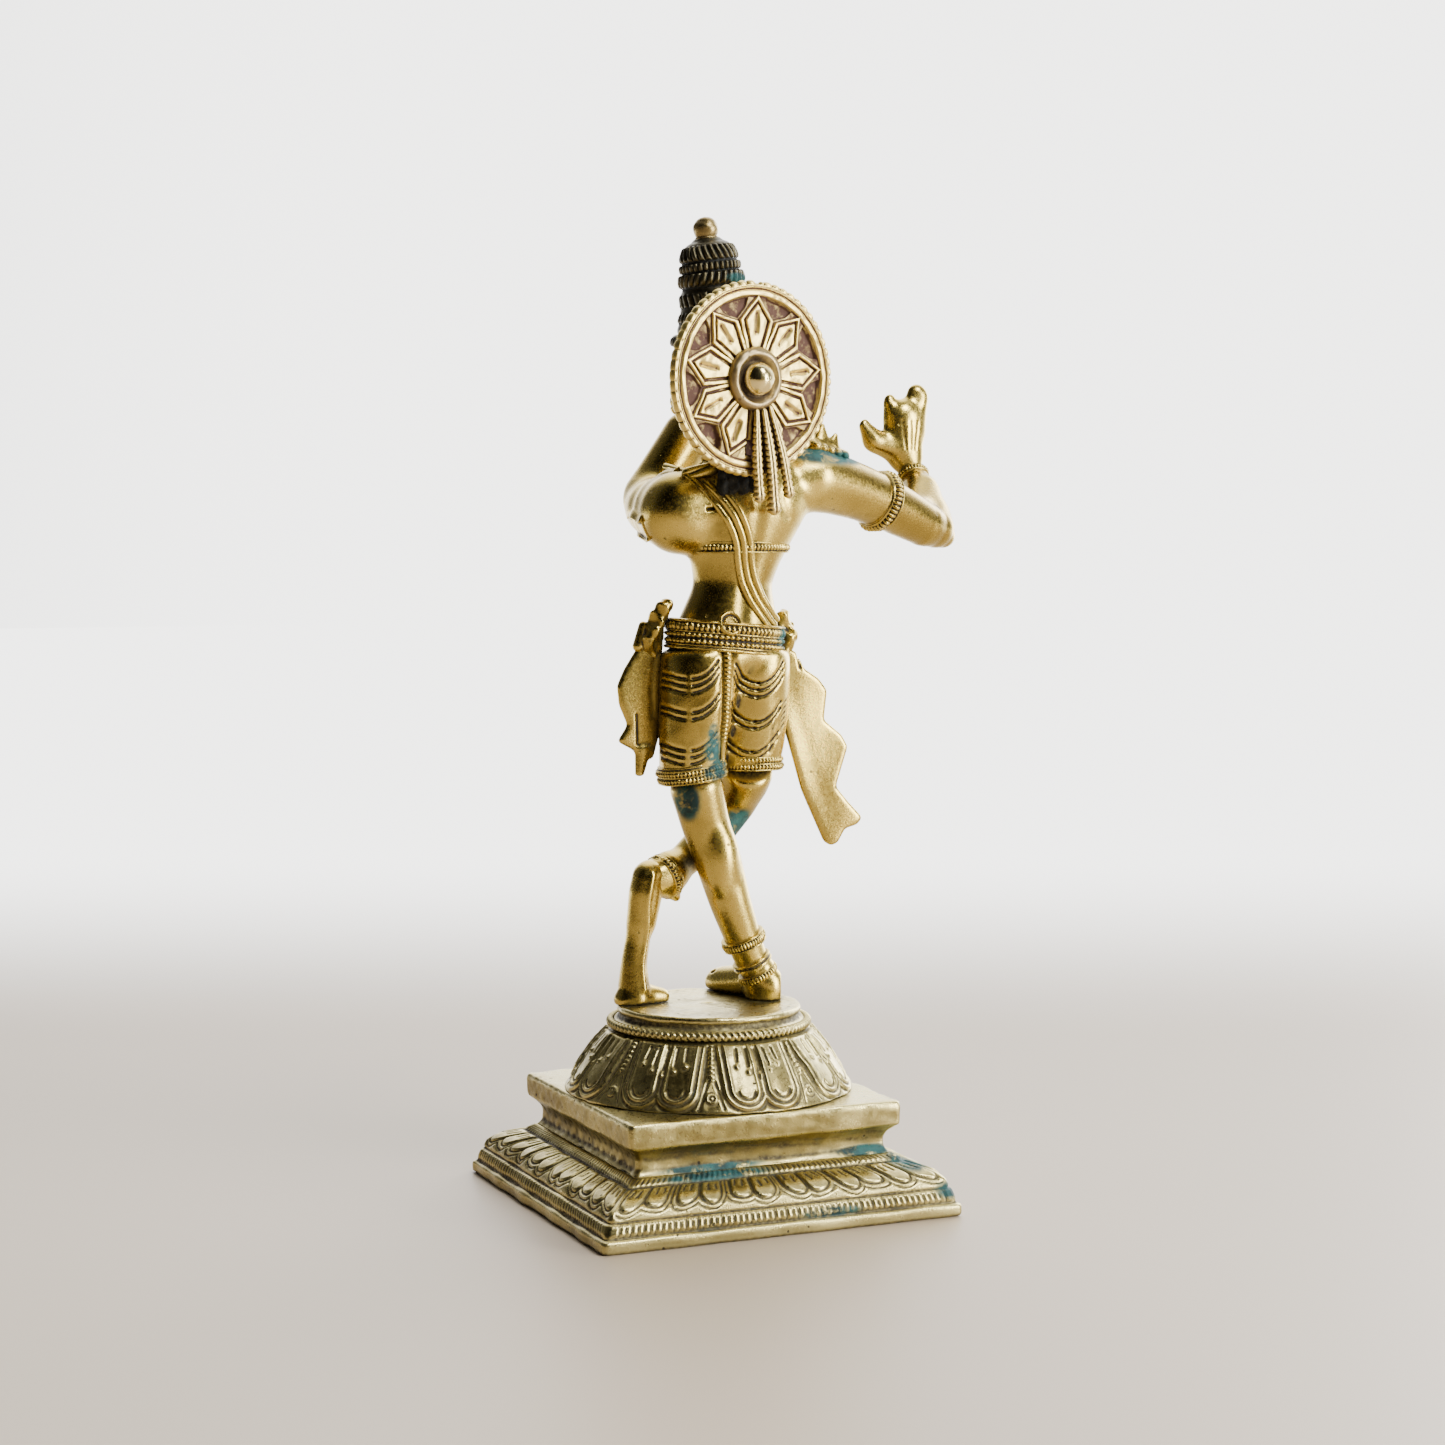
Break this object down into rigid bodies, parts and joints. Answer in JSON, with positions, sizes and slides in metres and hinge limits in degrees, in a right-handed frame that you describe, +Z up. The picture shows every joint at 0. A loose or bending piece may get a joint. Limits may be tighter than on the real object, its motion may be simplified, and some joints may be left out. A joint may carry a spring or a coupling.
{
  "type": "brass figure",
  "caption": "Small cast brass flute player standing cross-legged on a lotus seat and stepped square plinth, with a halo wheel riveted behind the crowned head.",
  "frame": {"origin": "centre of the plinth's open underside, in the plane that it rests on", "axes": "+Z up; the figure faces -Y, so its left hand side is +X; the halo wheel faces +Y"},
  "size_m": [0.0841, 0.064, 0.1655],
  "materials": {
    "figure_brass": "aged, hand-rubbed bright on the high places, brown patina in the recesses",
    "halo_brass": "polished pale, pink-brown in the recesses",
    "dark_brass": "blackened patina with worn high spots",
    "pedestal_brass": "aged, olive brown with traces of verdigris",
    "peg_brass": "as cast, dull"
  },
  "bodies": {
    "root": {"plinth_base": "pedestal_brass", "plinth_slab": "pedestal_brass", "lotus_dome": "pedestal_brass", "lotus_bead_ring": "pedestal_brass", "seat_disc": "pedestal_brass", "left_foot_peg": "peg_brass", "right_foot_peg": "peg_brass", "left_leg": "figure_brass", "left_foot": "figure_brass", "left_anklet_upper": "figure_brass", "left_anklet_lower": "figure_brass", "right_leg": "figure_brass", "right_foot": "figure_brass", "right_anklet": "figure_brass", "left_thigh_cloth": "figure_brass", "right_thigh_cloth": "figure_brass", "left_hem_band": "figure_brass", "right_hem_band": "figure_brass", "back_pleat_strip": "figure_brass", "waist_belt": "figure_brass", "belt_roundel": "figure_brass", "front_pleat": "figure_brass", "left_sash_flare": "figure_brass", "right_sash_flare": "figure_brass", "left_sash_knot": "figure_brass", "right_sash_knot": "figure_brass", "torso": "figure_brass", "chest_band": "figure_brass", "shoulder_cord": "figure_brass", "necklace": "figure_brass", "neck": "figure_brass", "head": "figure_brass", "hair_tresses": "dark_brass", "left_ear_pendant": "figure_brass", "right_ear_pendant": "figure_brass", "crown_band": "dark_brass", "crown": "dark_brass", "crown_finial": "dark_brass", "left_upper_arm": "figure_brass", "left_armlet": "figure_brass", "left_forearm": "figure_brass", "left_bracelet": "figure_brass", "left_hand": "figure_brass", "right_upper_arm": "figure_brass", "right_armlet": "figure_brass", "right_forearm": "figure_brass", "right_bracelet": "figure_brass", "right_hand": "figure_brass", "left_shoulder_tie": "figure_brass", "right_shoulder_tie": "figure_brass", "halo_wheel": "halo_brass", "halo_bead_rim": "halo_brass", "halo_hub": "halo_brass", "halo_pin": "halo_brass", "halo_tassels": "halo_brass"}
  },
  "joints": []
}
